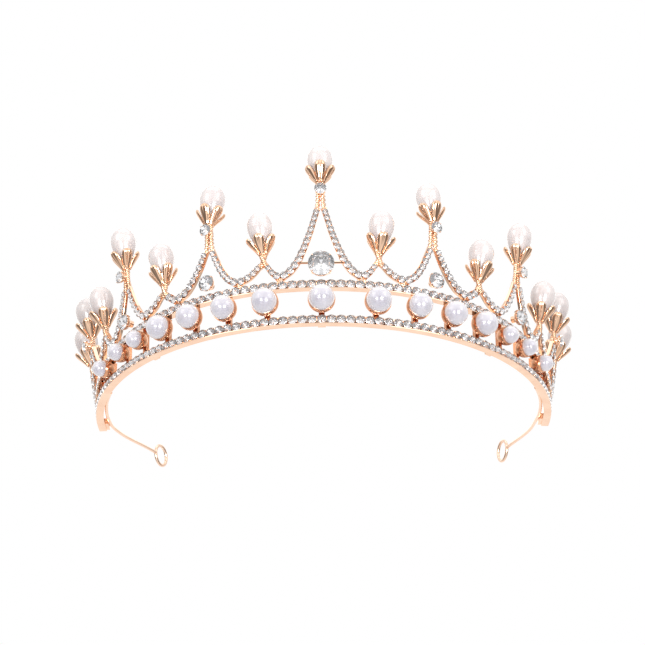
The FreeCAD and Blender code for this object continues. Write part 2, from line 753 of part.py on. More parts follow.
left_wire, left_center, left_axis = wire_arm(WIRE_ARMS[0])
right_wire, right_center, right_axis = wire_arm(WIRE_ARMS[1])
parts["wire_arm_left"] = [left_wire]
parts["wire_arm_right"] = [right_wire]
parts["solder_lugs"] = solder_lugs([left_wire, right_wire], parts["lower_rail"][0])

everything = Part.Compound([solid for solids in parts.values() for solid in solids])
BOX = everything.optimalBoundingBox(False, False)
MIDDLE_Y = 0.5 * (BOX.YMin + BOX.YMax)

os.makedirs("parts", exist_ok=True)
for node, solids in parts.items():
    export(node, solids)
print(len(parts), "nodes", "box", round(BOX.XLength, 2), round(BOX.YLength, 2),
      round(BOX.ZLength, 2), "lowest", round(BOX.ZMin, 3))
print("shift front to back", -MIDDLE_Y)
for center, axis in ((left_center, left_axis), (right_center, right_axis)):
    print("eyelet centre", center - Vector(0, MIDDLE_Y, 0), "axis", axis)
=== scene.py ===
import math

import bmesh
import bpy
import numpy as np
from mathutils import Matrix, Vector
from mathutils.kdtree import KDTree


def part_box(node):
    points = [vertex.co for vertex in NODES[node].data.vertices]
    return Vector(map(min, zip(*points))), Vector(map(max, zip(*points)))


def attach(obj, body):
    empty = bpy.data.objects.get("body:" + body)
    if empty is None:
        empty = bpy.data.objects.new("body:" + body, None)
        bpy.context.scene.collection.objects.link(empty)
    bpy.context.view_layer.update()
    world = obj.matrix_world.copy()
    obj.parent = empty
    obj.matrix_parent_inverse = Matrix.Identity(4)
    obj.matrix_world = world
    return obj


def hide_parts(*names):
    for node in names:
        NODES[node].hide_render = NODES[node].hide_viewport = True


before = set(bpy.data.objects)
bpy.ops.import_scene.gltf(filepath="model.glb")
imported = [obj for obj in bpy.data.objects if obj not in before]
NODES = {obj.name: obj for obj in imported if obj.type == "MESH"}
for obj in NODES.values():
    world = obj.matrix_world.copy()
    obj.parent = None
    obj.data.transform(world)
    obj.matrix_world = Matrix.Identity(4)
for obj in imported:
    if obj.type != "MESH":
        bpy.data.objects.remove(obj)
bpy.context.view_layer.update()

MM = 0.001
UP = Vector((0, 0, 1))
RING_HALF_WIDTH = 75.6 * MM
RING_DEPTH = 81.3 * MM
RING_FRONT = 81.725 * MM
RING_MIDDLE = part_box("lower_rail")[0].y + RING_FRONT
PEARL_FOOT = 1.6 * MM
WORDS = ["center"] + [side + "_" + str(i) for i in range(1, 8) for side in ("left", "right")]


# ---------------------------------------------------------------- reading the frame
def islands(name):
    """Separate solids of a CAD node, as arrays of their distinct corners, in metres."""
    mesh = NODES[name].data
    keys = {}
    corner_of = []
    for vertex in mesh.vertices:
        key = tuple(round(c * 1e6) for c in vertex.co)
        corner_of.append(keys.setdefault(key, len(keys)))
    parent = list(range(len(keys)))

    def root(i):
        while parent[i] != i:
            parent[i] = parent[parent[i]]
            i = parent[i]
        return i

    for polygon in mesh.polygons:
        first = root(corner_of[polygon.vertices[0]])
        for index in polygon.vertices[1:]:
            other = root(corner_of[index])
            if other != first:
                parent[other] = first
    groups = {}
    for key, index in keys.items():
        groups.setdefault(root(index), []).append(key)
    return [np.array(group, float) * 1e-6 for group in groups.values()]


def stone_seats(name):
    """Each stone of a node: its culet point, outward axis and diameter."""
    seats = []
    for corners in islands(name):
        middle = corners.mean(0)
        vectors = np.linalg.eigh(np.cov((corners - middle).T))[1]
        axis = vectors[:, 0]
        along = (corners - middle) @ axis
        radial = np.linalg.norm(corners - middle - np.outer(along, axis), axis=1)
        if along[radial.argmin()] > 0:
            axis = -axis
            along = -along
        culet = middle + axis * along.min()
        seats.append((Vector(culet), Vector(axis), 2 * float(radial.max())))
    return seats


def drop_seat(word):
    """Foot point and axis of the claw under a drop pearl, read from the pearl's long axis."""
    corners = islands("drop_pearl_" + word)[0]
    middle = corners.mean(0)
    vectors = np.linalg.eigh(np.cov((corners - middle).T))[1]
    axis = vectors[:, 2] * (1 if vectors[2, 2] > 0 else -1)
    low = ((corners - middle) @ axis).min()
    return Vector(middle + axis * (low - PEARL_FOOT)), Vector(axis)


def facing(point):
    """Level direction outwards from the band at a point."""
    return Vector((point.x / RING_HALF_WIDTH ** 2,
                   (point.y - RING_MIDDLE) / RING_DEPTH ** 2, 0)).normalized()


# ---------------------------------------------------------------- small mesh helpers
def new_piece(name, verts, faces, material, replaced=(), smooth=True, angle=None):
    mesh = bpy.data.meshes.new(name)
    mesh.from_pydata([tuple(v) for v in verts], [], faces)
    mesh.materials.append(material)
    mesh.polygons.foreach_set("use_smooth", [smooth] * len(mesh.polygons))
    mesh.update()
    piece = bpy.data.objects.new(name, mesh)
    bpy.context.scene.collection.objects.link(piece)
    if angle is not None:
        bpy.context.view_layer.objects.active = piece
        piece.select_set(True)
        bpy.ops.object.shade_smooth_by_angle(angle=math.radians(angle))
        piece.select_set(False)
    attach(piece, "root")
    if replaced:
        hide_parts(*replaced)
    return piece


def basis(axis, across=UP):
    """Rotation whose Z is axis and whose Y leans towards across."""
    z = axis.normalized()
    x = across.cross(z)
    if x.length < 1e-6:
        x = Vector((1, 0, 0)).cross(z)
    x.normalize()
    y = z.cross(x)
    return Matrix((x, y, z)).transposed()


class Builder:
    """Collects many small shapes into one mesh."""

    def __init__(self):
        self.verts = []
        self.faces = []
        self.slots = []

    def add(self, verts, faces, place=None, turn=None, scale=1.0, slot=0):
        start = len(self.verts)
        for v in verts:
            p = Vector(v) * scale
            if turn is not None:
                p = turn @ p
            if place is not None:
                p = p + place
            self.verts.append(p)
        for face in faces:
            self.faces.append([start + i for i in face])
            self.slots.append(slot)

    def piece(self, name, materials, replaced=(), smooth=True, angle=None):
        made = new_piece(name, self.verts, self.faces, materials[0], replaced, smooth, angle)
        for extra in materials[1:]:
            made.data.materials.append(extra)
        made.data.polygons.foreach_set("material_index", self.slots)
        return made


def lathe(profile, sides):
    """Rings of (radius, height) about Z; radius 0 is a point."""
    verts = []
    rings = []
    for radius, height in profile:
        if radius == 0:
            rings.append([len(verts)])
            verts.append((0, 0, height))
            continue
        ring = []
        for i in range(sides):
            a = 2 * math.pi * i / sides
            ring.append(len(verts))
            verts.append((radius * math.cos(a), radius * math.sin(a), height))
        rings.append(ring)
    faces = []
    for low, high in zip(rings, rings[1:]):
        for i in range(sides):
            j = (i + 1) % sides
            if len(low) == 1:
                faces.append([low[0], high[j], high[i]])
            elif len(high) == 1:
                faces.append([low[i], low[j], high[0]])
            else:
                faces.append([low[i], low[j], high[j], high[i]])
    return verts, faces


def tube(points, radius, sides=8):
    """Round tube through points, with closed ends. Radius may be a list."""
    points = [Vector(p) for p in points]
    verts = []
    faces = []
    count = len(points)
    across = None
    for i, point in enumerate(points):
        ahead = points[min(i + 1, count - 1)] - points[max(i - 1, 0)]
        ahead.normalize()
        if across is None:
            across = ahead.orthogonal().normalized()
        across = (across - ahead * across.dot(ahead)).normalized()
        other = ahead.cross(across)
        r = radius[i] if isinstance(radius, (list, tuple)) else radius
        for k in range(sides):
            a = 2 * math.pi * k / sides
            verts.append(point + (across * math.cos(a) + other * math.sin(a)) * r)
    for i in range(count - 1):
        for k in range(sides):
            m = (k + 1) % sides
            faces.append([i * sides + k, i * sides + m, (i + 1) * sides + m, (i + 1) * sides + k])
    faces.append([k for k in range(sides)][::-1])
    faces.append([(count - 1) * sides + k for k in range(sides)])
    return verts, faces


# ---------------------------------------------------------------- materials
def material(name):
    made = bpy.data.materials.new(name)
    made.use_nodes = True
    made.node_tree.nodes.clear()
    tree = made.node_tree
    out = tree.nodes.new("ShaderNodeOutputMaterial")
    shader = tree.nodes.new("ShaderNodeBsdfPrincipled")
    tree.links.new(shader.outputs[0], out.inputs[0])
    return made, tree, shader


def noise(tree, scale, detail=3.0, rough=0.5):
    coords = tree.nodes.new("ShaderNodeTexCoord")
    node = tree.nodes.new("ShaderNodeTexNoise")
    node.inputs["Scale"].default_value = scale
    node.inputs["Detail"].default_value = detail
    node.inputs["Roughness"].default_value = rough
    tree.links.new(coords.outputs["Object"], node.inputs["Vector"])
    return node


def ramp(tree, source, stops):
    node = tree.nodes.new("ShaderNodeValToRGB")
    while len(node.color_ramp.elements) < len(stops):
        node.color_ramp.elements.new(0.5)
    for element, (place, colour) in zip(node.color_ramp.elements, stops):
        element.position = place
        element.color = tuple(colour) + (1.0,)
    tree.links.new(source, node.inputs[0])
    return node


def grade(tree, source, low, high):
    node = tree.nodes.new("ShaderNodeMapRange")
    node.inputs["To Min"].default_value = low
    node.inputs["To Max"].default_value = high
    tree.links.new(source, node.inputs["Value"])
    return node


def bump(tree, shader, source, strength, distance):
    node = tree.nodes.new("ShaderNodeBump")
    node.inputs["Strength"].default_value = strength
    node.inputs["Distance"].default_value = distance
    tree.links.new(source, node.inputs["Height"])
    tree.links.new(node.outputs[0], shader.inputs["Normal"])


def rose_gold(name, light, dark, rough_low, rough_high, wave):
    made, tree, shader = material(name)
    shader.inputs["Metallic"].default_value = 1.0
    cloud = noise(tree, 160.0, 4.0, 0.6)
    colour = ramp(tree, cloud.outputs[0], [(0.3, dark), (0.7, light)])
    tree.links.new(colour.outputs[0], shader.inputs["Base Color"])
    fine = noise(tree, 900.0, 3.0, 0.55)
    rough = grade(tree, fine.outputs[0], rough_low, rough_high)
    tree.links.new(rough.outputs[0], shader.inputs["Roughness"])
    ripple = noise(tree, 420.0, 2.0, 0.5)
    bump(tree, shader, ripple.outputs[0], wave, 0.00008)
    return made


GOLD = rose_gold("rose_gold", (0.98, 0.72, 0.54), (0.90, 0.60, 0.43), 0.05, 0.14, 0.10)
# Painted shade: the pearl cups get a darker, deeper copper copy of the rose gold. It stands in for the
# shade they sit in behind and under the pearls.
GOLD_CUP_PAINTED_SHADE = rose_gold("rose_gold_cup_painted_shade", (0.86, 0.46, 0.28), (0.68, 0.33, 0.18), 0.14, 0.28, 0.12)
GOLD_CLAW = rose_gold("rose_gold_claw", (0.96, 0.68, 0.49), (0.80, 0.50, 0.33), 0.05, 0.13, 0.08)
GOLD_SETTING = rose_gold("rose_gold_setting", (0.84, 0.58, 0.42), (0.62, 0.40, 0.28), 0.12, 0.26, 0.12)
GOLD_WIRE = rose_gold("rose_gold_wire", (0.99, 0.76, 0.60), (0.94, 0.65, 0.48), 0.16, 0.28, 0.05)


def clear_stone():
    made, tree, shader = material("crystal_clear")
    shader.inputs["Base Color"].default_value = (0.97, 0.98, 1.0, 1)
    shader.inputs["Transmission Weight"].default_value = 0.88
    shader.inputs["IOR"].default_value = 1.56
    streak = noise(tree, 700.0, 2.0, 0.5)
    rough = grade(tree, streak.outputs[0], 0.0, 0.02)
    tree.links.new(rough.outputs[0], shader.inputs["Roughness"])
    return made


def stone_foil():
    made, tree, shader = material("crystal_foil")
    shader.inputs["Metallic"].default_value = 1.0
    cloud = noise(tree, 520.0, 2.0, 0.5)
    colour = ramp(tree, cloud.outputs[0], [(0.35, (0.88, 0.89, 0.91)), (0.60, (0.99, 0.99, 0.99))])
    tree.links.new(colour.outputs[0], shader.inputs["Base Color"])
    shader.inputs["Roughness"].default_value = 0.04
    return made


CRYSTAL = clear_stone()
FOIL = stone_foil()


def pearl(name, body, shade, painted_rim_sheen, scale):
    made, tree, shader = material(name)
    cloud = noise(tree, scale, 2.0, 0.5)
    colour = ramp(tree, cloud.outputs[0], [(0.35, shade), (0.65, body)])
    # Painted sheen: Layer Weight Facing blends the base colour towards a lighter colour at glancing
    # angles. This paints a lighter rim that stands in for the pearl's sheen.
    weight = tree.nodes.new("ShaderNodeLayerWeight")
    weight.inputs["Blend"].default_value = 0.35
    painted_sheen_mix = tree.nodes.new("ShaderNodeMix")
    painted_sheen_mix.data_type = "RGBA"
    tree.links.new(weight.outputs["Facing"], painted_sheen_mix.inputs[0])
    tree.links.new(colour.outputs[0], painted_sheen_mix.inputs[6])
    painted_sheen_mix.inputs[7].default_value = tuple(painted_rim_sheen) + (1.0,)
    tree.links.new(painted_sheen_mix.outputs[2], shader.inputs["Base Color"])
    shader.inputs["Roughness"].default_value = 0.22
    shader.inputs["Coat Weight"].default_value = 1.0
    shader.inputs["Coat IOR"].default_value = 1.7
    shader.inputs["Coat Roughness"].default_value = 0.12
    shader.inputs["Specular IOR Level"].default_value = 0.7
    shader.inputs["Sheen Weight"].default_value = 0.25
    shader.inputs["Sheen Roughness"].default_value = 0.4
    shader.inputs["Subsurface Weight"].default_value = 0.15
    shader.inputs["Subsurface Radius"].default_value = (0.0012, 0.0010, 0.0009)
    skin = noise(tree, scale * 9, 3.0, 0.5)
    bump(tree, shader, skin.outputs[0], 0.12, 0.00005)
    return made


# The fourth colour of each pearl is the painted sheen colour at its rim, not a colour of the pearl
# itself.
DROP = pearl("pearl_drop", (0.66, 0.61, 0.60), (0.58, 0.53, 0.53), (0.72, 0.65, 0.64), 210.0)
ROUND = pearl("pearl_round", (0.50, 0.485, 0.54), (0.42, 0.405, 0.47), (0.92, 0.91, 0.94), 240.0)

# ---------------------------------------------------------------- camera
CAM = Vector((2.7, -740.7, -300.5)) * MM
AIM = Vector((0.0, 0.6, 0.0)) * MM
ahead = (AIM - CAM).normalized()
right = ahead.cross(UP).normalized()
above = right.cross(ahead)
PITCH = math.radians(1.76)
ahead, above = (ahead * math.cos(PITCH) + above * math.sin(PITCH),
                above * math.cos(PITCH) - ahead * math.sin(PITCH))
ROLL = math.radians(-0.61)
right, above = (right * math.cos(ROLL) + above * math.sin(ROLL),
                above * math.cos(ROLL) - right * math.sin(ROLL))
camera_data = bpy.data.cameras.new("camera")
camera_data.lens = 136.3
camera_data.sensor_width = 36.0
camera_data.clip_start = 0.01
camera = bpy.data.objects.new("camera", camera_data)
camera.matrix_world = Matrix.Translation(CAM) @ Matrix((right, above, -ahead)).transposed().to_4x4()
bpy.context.scene.collection.objects.link(camera)
bpy.context.scene.camera = camera

# ---------------------------------------------------------------- floor, world and lights
floor_mesh = bpy.data.meshes.new("floor")
floor_mesh.from_pydata([(-3, -3, 0), (3, -3, 0), (3, 3, 0), (-3, 3, 0)], [], [(0, 1, 2, 3)])
floor = bpy.data.objects.new("floor", floor_mesh)
floor.location.z = -0.00005
bpy.context.scene.collection.objects.link(floor)
floor_material, tree, shader = material("floor_pale")
shader.inputs["Base Color"].default_value = (0.86, 0.86, 0.86, 1)
shader.inputs["Roughness"].default_value = 0.85
clear = tree.nodes.new("ShaderNodeBsdfTransparent")
side = tree.nodes.new("ShaderNodeNewGeometry")
ray = tree.nodes.new("ShaderNodeLightPath")
bounce = tree.nodes.new("ShaderNodeMixShader")
tree.links.new(ray.outputs["Is Camera Ray"], bounce.inputs[0])
tree.links.new(clear.outputs[0], bounce.inputs[1])
tree.links.new(shader.outputs[0], bounce.inputs[2])
mixed = tree.nodes.new("ShaderNodeMixShader")
tree.links.new(side.outputs["Backfacing"], mixed.inputs[0])
tree.links.new(bounce.outputs[0], mixed.inputs[1])
tree.links.new(clear.outputs[0], mixed.inputs[2])
output = [node for node in tree.nodes if node.type == "OUTPUT_MATERIAL"][0]
tree.links.new(mixed.outputs[0], output.inputs[0])
floor_mesh.materials.append(floor_material)

world = bpy.data.worlds.new("world")
bpy.context.scene.world = world
world.use_nodes = True
wt = world.node_tree
wt.nodes.clear()
world_out = wt.nodes.new("ShaderNodeOutputWorld")
seen = wt.nodes.new("ShaderNodeBackground")
seen.inputs[0].default_value = (1, 1, 1, 1)
seen.inputs[1].default_value = 1.0
lit = wt.nodes.new("ShaderNodeBackground")
lit.inputs[1].default_value = 1.0


def world_math(operation, *sources):
    node = wt.nodes.new("ShaderNodeMath")
    node.operation = operation
    for socket, source in zip(node.inputs, sources):
        if isinstance(source, (int, float)):
            socket.default_value = source
        else:
            wt.links.new(source, socket)
    return node.outputs[0]


# A pale room: two tall soft strips either side of the viewer, a dark gap between them.
toward = wt.nodes.new("ShaderNodeTexCoord")
parts = wt.nodes.new("ShaderNodeSeparateXYZ")
wt.links.new(toward.outputs["Generated"], parts.inputs[0])
backward = world_math("MULTIPLY", parts.outputs["Y"], -1.0)
turned = world_math("ARCTAN2", parts.outputs["X"], backward)
away = world_math("DIVIDE", world_math("ABSOLUTE", turned), math.pi)
round_room = ramp(wt, away, [(0.0, (0.12, 0.11, 0.11)), (0.03, (0.15, 0.14, 0.14)),
                             (0.065, (1.25, 1.22, 1.20)), (0.20, (1.15, 1.12, 1.10)),
                             (0.26, (0.20, 0.19, 0.19)), (0.52, (0.24, 0.23, 0.23)),
                             (0.80, (1.05, 1.02, 1.0))])
steep = ramp(wt, world_math("ABSOLUTE", parts.outputs["Z"]), [(0.62, (0, 0, 0)), (0.85, (1, 1, 1))])
upper = ramp(wt, parts.outputs["Z"], [(0.06, (0, 0, 0)), (0.30, (1, 1, 1))])
lifted = wt.nodes.new("ShaderNodeMix")
lifted.data_type = "RGBA"
lifted.blend_type = "LIGHTEN"
wt.links.new(upper.outputs[0], lifted.inputs[0])
wt.links.new(round_room.outputs[0], lifted.inputs[6])
lifted.inputs[7].default_value = (0.86, 0.85, 0.84, 1)
joined = wt.nodes.new("ShaderNodeMix")
joined.data_type = "RGBA"
wt.links.new(steep.outputs[0], joined.inputs[0])
wt.links.new(lifted.outputs[2], joined.inputs[6])
joined.inputs[7].default_value = (0.92, 0.90, 0.89, 1)
wt.links.new(joined.outputs[2], lit.inputs[0])
path = wt.nodes.new("ShaderNodeLightPath")
chosen = wt.nodes.new("ShaderNodeMixShader")
wt.links.new(path.outputs["Is Camera Ray"], chosen.inputs[0])
wt.links.new(lit.outputs[0], chosen.inputs[1])
wt.links.new(seen.outputs[0], chosen.inputs[2])
wt.links.new(chosen.outputs[0], world_out.inputs[0])


def softbox(name, place, size, strength, aim=(0, 0, 0.02)):
    data = bpy.data.lights.new(name, "AREA")
    data.shape = "RECTANGLE"
    data.size, data.size_y = size
    data.energy = strength
    lamp = bpy.data.objects.new(name, data)
    lamp.location = place
    lamp.rotation_euler = (Vector(aim) - Vector(place)).to_track_quat("-Z", "Y").to_euler()
    bpy.context.scene.collection.objects.link(lamp)


softbox("soft_left", (-0.80, -0.70, 0.50), (0.5, 0.8), 1.8)
softbox("soft_right", (0.80, -0.70, 0.50), (0.5, 0.8), 1.8)
softbox("soft_top", (0.0, -0.1, 1.1), (1.2, 0.7), 2.0)
softbox("soft_back", (0.0, 0.9, 0.6), (1.4, 0.6), 1.2)
softbox("spot_left", (-0.30, -0.82, -0.22), (0.22, 0.26), 2.6)
softbox("spot_right", (0.34, -0.82, -0.20), (0.26, 0.32), 3.6)

bpy.context.scene.view_settings.view_transform = "Standard"
bpy.context.scene.view_settings.look = "None"


# ---------------------------------------------------------------- stones
def brilliant():
    """Round brilliant of diameter 1 on +Z with its culet at the origin. Returns crown, pavilion."""
    girdle_low, girdle_high, table_height = 0.315, 0.345, 0.49
    crown_v, crown_f = [], []
    n = 8
    table = []
    for i in range(n):
        a = 2 * math.pi * i / n
        table.append(len(crown_v))
        crown_v.append((0.27 * math.cos(a), 0.27 * math.sin(a), table_height))
    kite = []
    for i in range(n):
        a = 2 * math.pi * (i + 0.5) / n
        kite.append(len(crown_v))
        crown_v.append((0.385 * math.cos(a), 0.385 * math.sin(a), 0.43))
    rim = []
    for i in range(2 * n):
        a = 2 * math.pi * i / (2 * n)
        rim.append(len(crown_v))
        crown_v.append((0.5 * math.cos(a), 0.5 * math.sin(a), girdle_high))
    low = []
    for i in range(2 * n):
        a = 2 * math.pi * i / (2 * n)
        low.append(len(crown_v))
        crown_v.append((0.5 * math.cos(a), 0.5 * math.sin(a), girdle_low))
    crown_f.append(table)
    for i in range(n):
        j = (i + 1) % n
        crown_f.append([table[i], kite[i], table[j]])
        crown_f.append([table[i], kite[i - 1], rim[2 * i], kite[i]])
        crown_f.append([kite[i], rim[2 * i], rim[2 * i + 1]])
        crown_f.append([kite[i], rim[2 * i + 1], rim[(2 * i + 2) % 16]])
    for i in range(2 * n):
        j = (i + 1) % (2 * n)
        crown_f.append([low[i], low[j], rim[j], rim[i]])
    pav_f = []
    half = []
    for i in range(n):
        a = 2 * math.pi * (i + 0.5) / n
        half.append(len(crown_v))
        crown_v.append((0.2 * math.cos(a), 0.2 * math.sin(a), 0.118))
    culet = len(crown_v)
    crown_v.append((0, 0, 0.0))
    for i in range(n):
        j = (i + 1) % n
        pav_f.append([low[2 * i + 1], low[2 * i], half[i]])
        pav_f.append([low[(2 * i + 2) % 16], low[2 * i + 1], half[i]])
        pav_f.append([low[(2 * i) % 16], half[i - 1], culet, half[i]])
    return crown_v, crown_f, pav_f


STONE_V, CROWN_F, PAVILION_F = brilliant()


def set_stones(replaced, piece_name, spread=1.08):
    """Faceted stones at the places of a stone node, spread times as wide."""
    build = Builder()
    seats = stone_seats(replaced)
    for culet, axis, size in seats:
        turn = basis(axis)
        build.add(STONE_V, CROWN_F, culet, turn, size * spread, 0)
        start = len(build.verts) - len(STONE_V)
        for face in PAVILION_F:
            build.faces.append([start + i for i in face])
            build.slots.append(1)
    made = build.piece(piece_name, [CRYSTAL, FOIL], (replaced,), smooth=False)
    return seats


CUP_PROFILE = [(0.0, -0.02), (0.34, -0.02), (0.46, 0.05), (0.505, 0.20), (0.515, 0.27),
               (0.49, 0.285), (0.44, 0.262), (0.0, -0.005)]


CUP_SIDES = 12
PRONG_SIDES = 7
PRONG_RADII = [0.07, 0.07, 0.065, 0.06, 0.035]


def set_cups(seats, replaced, piece_name):
    """Round open cups with four rounded prongs bent over the stone's edge."""
    build = Builder()
    cup_v, cup_f = lathe(CUP_PROFILE, CUP_SIDES)
    places = [culet for culet, axis, size in seats]
    for index, (culet, axis, size) in enumerate(seats):
        nearest = min((p for p in places if p is not culet), key=lambda p: (p - culet).length)
        turn = basis(axis, nearest - culet)
        build.add(cup_v, cup_f, culet, turn, size)
        for k in range(4):
            a = math.pi / 4 + k * math.pi / 2
            out = Vector((math.cos(a), math.sin(a), 0))
            path_points = [out * 0.48 + UP * 0.1, out * 0.545 + UP * 0.24, out * 0.55 + UP * 0.37,
                           out * 0.51 + UP * 0.45, out * 0.45 + UP * 0.475]
            v, f = tube(path_points, PRONG_RADII, PRONG_SIDES)
            build.add(v, f, culet, turn, size)
    made = build.piece(piece_name, [GOLD_SETTING], (replaced,), angle=40)
    return made


RAIL_SPREAD = 1.1
ARM_SPREAD = 1.2
for rail in ("lower_rail", "upper_rail", "peak"):
    spread = ARM_SPREAD if rail == "peak" else RAIL_SPREAD
    seats = set_stones(rail + "_stones", rail + "_brilliants", spread)
    set_cups(seats, rail + "_cups", rail + "_settings")
    if rail == "peak":
        PEAK_SEATS = seats


# ---------------------------------------------------------------- claws and drop pearls
def petal(across=14, along=18):
    """One petal of a claw along +Z: a half-round leaf, narrow at the foot, with a round tip."""
    verts, faces = [], []
    for i in range(along + 1):
        v = i / along
        reach = 1.10 + 2.75 * v ** 1.15 + 0.55 * v ** 4
        width = 0.76 + 1.08 * math.sin(0.5 * math.pi * min(1.0, v / 0.74)) ** 1.4
        if v > 0.72:
            width *= math.sqrt(max(0.0, 1 - ((v - 0.72) / 0.28) ** 2.2)) * 0.96 + 0.04
        height = 0.30 + 5.95 * v
        for j in range(across + 1):
            u = 2 * j / across - 1
            swell = 0.70 * width * math.sqrt(max(0.0, 1 - 0.96 * u * u))
            crease = 0.30 * v * math.exp(-(u / 0.15) ** 2)
            verts.append(((reach + swell - crease) * MM, u * width * MM,
                          (height - 0.3 * swell) * MM))
    for i in range(along):
        for j in range(across):
            k = i * (across + 1) + j
            faces.append([k, k + 1, k + across + 2, k + across + 1])
    return verts, faces


PETAL_V, PETAL_F = petal()
CLAW_FOOT = [(0.0, 0.0), (1.1, 0.0), (1.3, 0.25), (1.25, 0.55), (1.5, 0.95), (1.95, 1.8),
             (2.45, 2.9), (2.72, 3.5), (2.5, 3.5), (1.75, 2.3), (0.0, 1.5)]


def set_claw(word):
    foot, axis = drop_seat(word)
    front = facing(foot)
    build = Builder()
    x = (front - axis * front.dot(axis)).normalized()
    turn = Matrix((x, axis.cross(x), axis)).transposed()
    for k in range(5):
        spin = Matrix.Rotation(2 * math.pi * k / 5, 3, "Z")
        build.add(PETAL_V, PETAL_F, foot, turn @ spin)
    v, f = lathe(CLAW_FOOT, 24)
    build.add(v, f, foot, turn, MM)
    made = build.piece("claw_petals_" + word, [GOLD_CLAW], ("claw_" + word,))
    skin = made.modifiers.new("wall", "SOLIDIFY")
    skin.thickness = 0.32 * MM
    skin.offset = -1.0
    soft = made.modifiers.new("soft", "SUBSURF")
    soft.levels = 1
    soft.render_levels = 1
    return foot, axis


def set_drop(word, number, foot, axis):
    """Drop pearl with the slight unevenness of a lacquered drop."""
    sides, rings = 40, 30
    verts, faces = [], []
    length, radius = 13.1, 4.15
    phase = 1.7 * number
    for i in range(rings + 1):
        share = 0.5 * (1 - math.cos(math.pi * i / rings))
        size = radius * max(0.0, math.sin(math.pi * share ** 1.521)) ** 0.468
        if i in (0, rings):
            size = 0.0
        for k in range(sides):
            a = 2 * math.pi * k / sides
            wave = 1 + 0.010 * math.sin(2 * a + phase) + 0.006 * math.sin(5 * share + phase + a)
            verts.append((size * wave * math.cos(a), size * wave * math.sin(a),
                          1.6 + length * share))
    for i in range(rings):
        for k in range(sides):
            m = (k + 1) % sides
            faces.append([i * sides + k, i * sides + m, (i + 1) * sides + m, (i + 1) * sides + k])
    turn = basis(axis)
    build = Builder()
    build.add(verts, faces, foot, turn, MM)
    made = build.piece("drop_pearl_skin_" + word, [DROP], ("drop_pearl_" + word,))
    clean = bmesh.new()
    clean.from_mesh(made.data)
    bmesh.ops.remove_doubles(clean, verts=clean.verts, dist=1e-7)
    clean.to_mesh(made.data)
    clean.free()


CLAWS = {}
for number, word in enumerate(WORDS):
    CLAWS[word] = set_claw(word)
    set_drop(word, number, *CLAWS[word])

# ---------------------------------------------------------------- round pearls
build = Builder()
for corners in islands("round_pearls"):
    low, high = Vector(corners.min(0)), Vector(corners.max(0))
    middle = 0.5 * (low + high)
    radius = 0.5 * (high.z - low.z)
    turn = basis(facing(middle))
    ball = [(radius * math.sin(math.pi * i / 24), -radius * math.cos(math.pi * i / 24))
            for i in range(25)]
    ball[0] = (0, -radius)
    ball[-1] = (0, radius)
    v, f = lathe(ball, 40)
    build.add(v, f, middle, turn)
made = build.piece("round_pearl_skins", [ROUND], ("round_pearls",))

# ---------------------------------------------------------------- larger crystals
crystal_seats = set_stones("crystals", "crystal_brilliants")
build = Builder()
cup_v, cup_f = lathe([(0.0, -0.03), (0.30, -0.03), (0.44, 0.03), (0.505, 0.14), (0.525, 0.27),
                      (0.515, 0.31), (0.495, 0.31), (0.46, 0.26), (0.0, -0.01)], 40)
for culet, axis, size in crystal_seats:
    turn = basis(axis)
    build.add(cup_v, cup_f, culet, turn, size)
    wire = 0.22 * MM / size
    for k in range(4):
        a = math.pi / 4 + k * math.pi / 2
        out = Vector((math.cos(a), math.sin(a), 0))
        v, f = tube([out * 0.47 + UP * 0.06, out * 0.53 + UP * 0.22, out * 0.535 + UP * 0.34,
                     out * 0.51 + UP * 0.40, out * 0.475 + UP * 0.425],
                    [wire, wire, wire, wire, 0.6 * wire], 8)
        build.add(v, f, culet, turn, size)
    back = 1.7 * MM if size > 4 * MM else 1.3 * MM
    v, f = tube([culet - axis * back, culet + axis * 0.1 * MM], 1.15 * MM, 16)
    build.add(v, f)
middle, axis, size = max(crystal_seats, key=lambda seat: seat[2])
for side in (-1, 1):
    level = middle + Vector((0, 0, 1.6 * MM)) - axis * 0.6 * MM
    v, f = tube([level + Vector((side * 2.4 * MM, 0, 0)), level + Vector((side * 6.7 * MM, 0, 0))],
                0.4 * MM, 8)
    build.add(v, f)
made = build.piece("crystal_settings", [GOLD], ("crystal_bezels",), angle=40)

# ---------------------------------------------------------------- arms and beaded stems
tree_size = sum(len(NODES["peak_" + word].data.vertices) for word in WORDS)
near = KDTree(tree_size)
owner = []
for word in WORDS:
    for vertex in NODES["peak_" + word].data.vertices:
        near.insert(vertex.co, len(owner))
        owner.append(word)
near.balance()
arms = {}
for culet, axis, size in PEAK_SEATS:
    word = owner[near.find(culet)[1]]
    foot = CLAWS[word][0]
    across = UP.cross(facing(foot))
    side = 1 if (culet - foot).dot(across) > 0 else -1
    arms.setdefault((word, side), []).append((culet, axis, size))


def smooth_path(points, steps):
    """Catmull-Rom through the points."""
    points = [Vector(p) for p in points]
    padded = [points[0] * 2 - points[1]] + points + [points[-1] * 2 - points[-2]]
    out = []
    for i in range(1, len(padded) - 2):
        p0, p1, p2, p3 = padded[i - 1:i + 3]
        for k in range(steps):
            t = k / steps
            out.append(0.5 * (2 * p1 + (p2 - p0) * t + (2 * p0 - 5 * p1 + 4 * p2 - p3) * t * t
                              + (3 * p1 - p0 - 3 * p2 + p3) * t ** 3))
    out.append(points[-1])
    return out


SECTION = [(-0.42, -0.95), (0.42, -0.95), (0.53, -0.80), (0.54, 0.12), (0.49, 0.26), (0.40, 0.10),
           (-0.40, 0.10), (-0.49, 0.26), (-0.54, 0.12), (-0.53, -0.80)]


ARM_HALF = 0.54
FOOT_REACH = 4.0 * MM
SOLDER = 0.36 * MM


def foot_height(word, point):
    """Lowest point of the CAD frame of a peak near the foot of one of its arms."""
    corners = np.array([vertex.co for vertex in NODES["peak_" + word].data.vertices])
    level = np.hypot(corners[:, 0] - point.x, corners[:, 1] - point.y)
    return float(corners[level < FOOT_REACH, 2].min())


